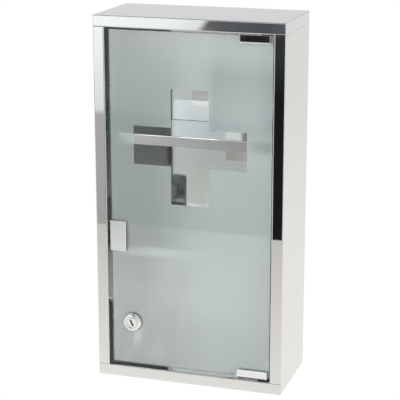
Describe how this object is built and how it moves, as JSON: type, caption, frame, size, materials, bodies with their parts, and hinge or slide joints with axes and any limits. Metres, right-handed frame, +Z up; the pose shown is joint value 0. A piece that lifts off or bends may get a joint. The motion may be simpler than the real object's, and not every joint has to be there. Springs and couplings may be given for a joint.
{
  "type": "lockable medicine cabinet",
  "caption": "Wall cabinet of folded stainless sheet with a frosted glass door on pivot hinges, a cam lock, a clip handle with a touch latch, and shelves inside.",
  "frame": {"origin": "middle of the cabinet's base", "axes": "+X to the hinge side, +Y from the door to the wall, +Z up"},
  "size_m": [0.25, 0.12, 0.48],
  "materials": {
    "stainless_sheet": "mirror polished",
    "chrome_fittings": "polished",
    "zinc_steel": "satin",
    "brass": "satin",
    "black_nylon": "matte",
    "latch_plastic": "matte",
    "grey_rubber": "matte",
    "door_glass": "clear with a green edge",
    "frosted_film": "frosted"
  },
  "bodies": {
    "cabinet": {"top_cover": "stainless_sheet", "ceiling_sheet": "stainless_sheet", "bottom_cover": "stainless_sheet", "floor_sheet": "stainless_sheet", "left_side_panel": "stainless_sheet", "left_inner_liner": "stainless_sheet", "right_side_panel": "stainless_sheet", "right_inner_liner": "stainless_sheet", "back_panel": "stainless_sheet", "back_rivets": "zinc_steel", "upper_shelf": "stainless_sheet", "lower_shelf": "stainless_sheet", "upper_shelf_pins": "zinc_steel", "lower_shelf_pins": "zinc_steel", "upper_pivot_bush": "black_nylon", "lower_pivot_bush": "black_nylon", "latch_housing": "latch_plastic", "latch_screws": "zinc_steel", "latch_spring": "zinc_steel"},
    "plunger": {"latch_plunger": "latch_plastic", "latch_magnet": "zinc_steel"},
    "door": {"door_glass": "door_glass", "frosted_film": "frosted_film", "handle_clip": "chrome_fittings", "handle_pad": "grey_rubber", "upper_hinge_clamp": "chrome_fittings", "lower_hinge_clamp": "chrome_fittings", "hinge_pads": "grey_rubber", "clamp_screws": "zinc_steel", "upper_pivot_pin": "zinc_steel", "lower_pivot_pin": "zinc_steel", "lock_housing": "chrome_fittings", "lock_gasket": "grey_rubber", "nut_washer": "zinc_steel", "lock_nut": "zinc_steel"},
    "lock_core": {"lock_plug": "chrome_fittings", "lock_wafers": "brass", "lock_cam": "zinc_steel", "cam_washer": "zinc_steel", "cam_screw": "zinc_steel"}
  },
  "joints": [
    {"name": "door_hinge", "type": "hinge", "parent": "cabinet", "child": "door", "pos_m": [0.1005, -0.052, 0.24], "axis": [0, 0, 1], "range_deg": [0, 110]},
    {"name": "lock_turn", "type": "hinge", "parent": "door", "child": "lock_core", "pos_m": [-0.079, -0.05, 0.0755], "axis": [0, 1, 0], "range_deg": [0, 90]},
    {"name": "latch_press", "type": "slide", "parent": "cabinet", "child": "plunger", "axis": [0, 1, 0], "range_m": [0, 0.0025], "stiffness_N_per_m": 400, "deforming": ["latch_spring"]}
  ]
}
